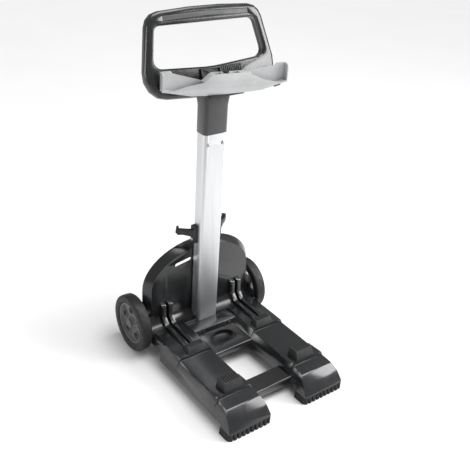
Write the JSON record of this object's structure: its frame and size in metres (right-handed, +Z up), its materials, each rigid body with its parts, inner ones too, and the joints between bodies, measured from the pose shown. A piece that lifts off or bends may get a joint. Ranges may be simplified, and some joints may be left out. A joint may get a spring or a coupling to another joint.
{
  "type": "pool cleaner caddy",
  "caption": "Two-wheeled hand trolley that carries a robotic pool cleaner on two forks, with a mast, loop handle, cable hooks and a turning holder for the control unit.",
  "frame": {"origin": "centre of the bounding box's base, on the floor", "axes": "+Z up, -Y is the front where the forks point, +X is to the right when the front is looked at from -Y"},
  "size_m": [0.4608, 0.585, 1.0134],
  "materials": {
    "base_black": "satin black moulding with a fine grain",
    "pad_black": "ribbed matt black",
    "rubber": "soft matt rubber",
    "tyre": "smooth hard tread",
    "handle_grey": "satin charcoal with a fine grain",
    "grip_grey": "soft-touch grey inlay",
    "holder_grey": "glossy light grey",
    "hub_grey": "matt mid grey",
    "aluminium": "fine satin, anodised",
    "steel": "zinc plated",
    "nylon": "matt black nylon"
  },
  "bodies": {
    "chassis": {"base_moulding": "base_black", "back_shield": "base_black", "left_rubber_foot": "rubber", "left_front_pad": "pad_black", "left_rear_pad": "pad_black", "left_socket_screw": "steel", "left_hook_screw": "steel", "left_axle_washer": "steel", "left_axle_clip": "steel", "left_cable_hook": "nylon", "right_rubber_foot": "rubber", "right_front_pad": "pad_black", "right_rear_pad": "pad_black", "right_socket_screw": "steel", "right_hook_screw": "steel", "right_axle_washer": "steel", "right_axle_clip": "steel", "right_cable_hook": "nylon", "shield_screw_1": "steel", "shield_screw_2": "steel", "shield_screw_3": "steel", "shield_screw_4": "steel", "mast_screw_1": "steel", "mast_screw_2": "steel", "handle_screw_1": "steel", "handle_screw_2": "steel", "handle_screw_3": "steel", "handle_screw_4": "steel", "handle_screw_5": "steel", "handle_screw_6": "steel", "axle": "steel", "mast_tube": "aluminium", "neck_plug": "nylon", "holder_bracket": "nylon", "holder_cap": "nylon", "handle_front_half": "handle_grey", "handle_rear_half": "handle_grey", "neck_collar": "handle_grey", "grip_inlay": "grip_grey", "cord_clip": "pad_black"},
    "left_wheel": {"left_tyre": "tyre", "left_wheel_rim": "hub_grey", "left_wheel_bush": "nylon", "left_hub_cap": "hub_grey"},
    "right_wheel": {"right_tyre": "tyre", "right_wheel_rim": "hub_grey", "right_wheel_bush": "nylon", "right_hub_cap": "hub_grey"},
    "holder": {"control_unit_holder": "holder_grey", "left_holder_buffer": "rubber", "right_holder_buffer": "rubber"}
  },
  "joints": [
    {"name": "left_wheel_spin", "type": "hinge", "parent": "chassis", "child": "left_wheel", "pos_m": [-0.2134, 0.2035, 0.089], "axis": [1, 0, 0], "continuous": true},
    {"name": "right_wheel_spin", "type": "hinge", "parent": "chassis", "child": "right_wheel", "pos_m": [0.2134, 0.2035, 0.089], "axis": [1, 0, 0], "continuous": true},
    {"name": "holder_swivel", "type": "hinge", "parent": "chassis", "child": "holder", "pos_m": [0, 0.086, 0.85], "axis": [0, 0, 1], "range_deg": [-1.5, 21.5]}
  ]
}
